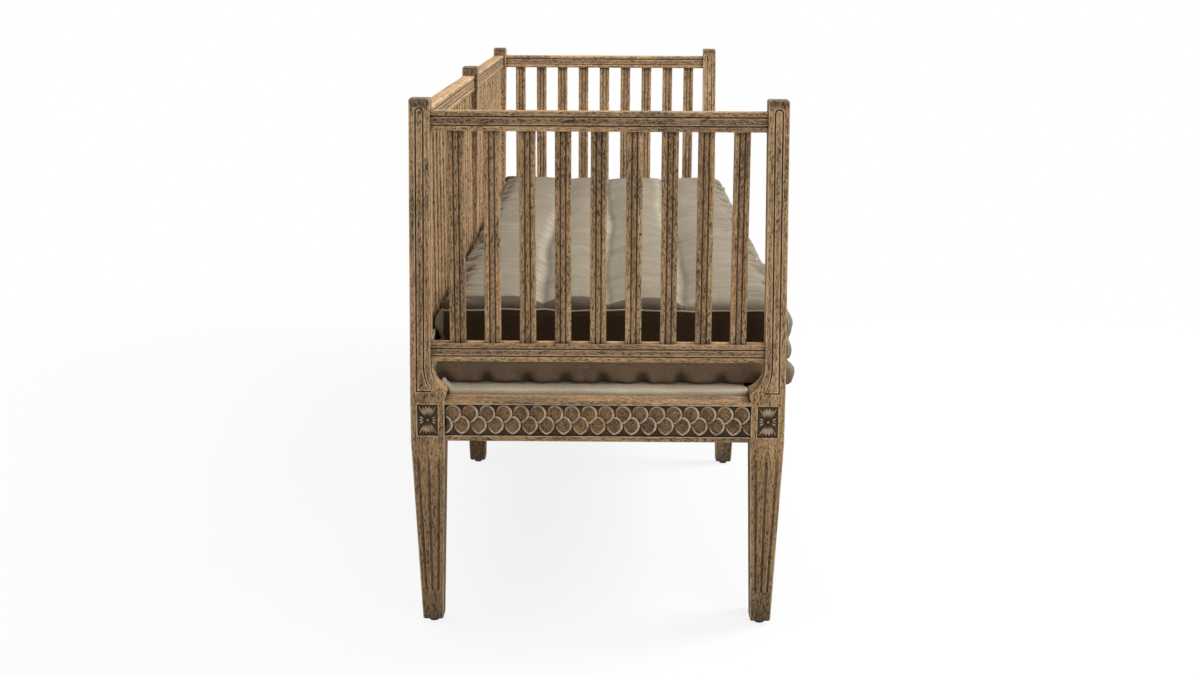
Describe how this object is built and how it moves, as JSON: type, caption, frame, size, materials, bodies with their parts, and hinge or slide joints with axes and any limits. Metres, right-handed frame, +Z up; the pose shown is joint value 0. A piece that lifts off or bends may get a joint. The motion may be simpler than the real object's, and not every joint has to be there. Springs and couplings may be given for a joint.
{
  "type": "swedish pull out bench bed",
  "caption": "Gustavian style slatted bench whose front slides out to make a double bed, with carved aprons, fluted legs and a tufted mattress.",
  "frame": {"origin": "on the floor under the middle of the bench, midway between its ends and between its front and back seat blocks", "axes": "+X along the bench towards its right end as seen from the open front, +Y from the open front to the slatted back, +Z up"},
  "size_m": [2.05, 0.65, 0.914],
  "materials": {
    "driftwood": "matte",
    "plain_pine": "matte",
    "glide": "matte",
    "mattress_linen": "matte",
    "deck_linen": "matte"
  },
  "bodies": {
    "bench": {"back_bearer": "plain_pine", "back_left_apron": "driftwood", "back_left_low_rail": "driftwood", "back_left_slats": "driftwood", "back_left_top_rail": "driftwood", "back_right_apron": "driftwood", "back_right_low_rail": "driftwood", "back_right_slats": "driftwood", "back_right_top_rail": "driftwood", "centre_back_post": "driftwood", "deck_pad": "deck_linen", "fixed_deck_slats": "plain_pine", "fixed_glides": "glide", "front_bearer": "plain_pine", "left_back_post": "driftwood", "left_end_apron": "driftwood", "left_end_low_rail": "driftwood", "left_end_slat_1": "driftwood", "left_end_slat_2": "driftwood", "left_end_slat_3": "driftwood", "left_end_slat_4": "driftwood", "left_end_slat_5": "driftwood", "left_end_slat_6": "driftwood", "left_end_slat_7": "driftwood", "left_end_slat_8": "driftwood", "left_end_slat_9": "driftwood", "left_end_top_rail": "driftwood", "left_front_post": "driftwood", "left_runner": "plain_pine", "mattress": "mattress_linen", "right_back_post": "driftwood", "right_end_apron": "driftwood", "right_end_low_rail": "driftwood", "right_end_slat_1": "driftwood", "right_end_slat_2": "driftwood", "right_end_slat_3": "driftwood", "right_end_slat_4": "driftwood", "right_end_slat_5": "driftwood", "right_end_slat_6": "driftwood", "right_end_slat_7": "driftwood", "right_end_slat_8": "driftwood", "right_end_slat_9": "driftwood", "right_end_top_rail": "driftwood", "right_front_post": "driftwood", "right_runner": "plain_pine"},
    "pull_out": {"left_inner_leg": "plain_pine", "right_inner_leg": "plain_pine", "centre_front_leg": "driftwood", "front_left_apron": "driftwood", "front_right_apron": "driftwood", "front_left_cleat": "plain_pine", "front_right_cleat": "plain_pine", "left_side_rail": "plain_pine", "right_side_rail": "plain_pine", "rear_tie": "plain_pine", "sliding_deck_slats": "plain_pine", "pull_out_glides": "glide"}
  },
  "joints": [
    {"name": "pull_out_slide", "type": "slide", "parent": "bench", "child": "pull_out", "axis": [0, -1, 0], "range_m": [0, 0.418]}
  ]
}
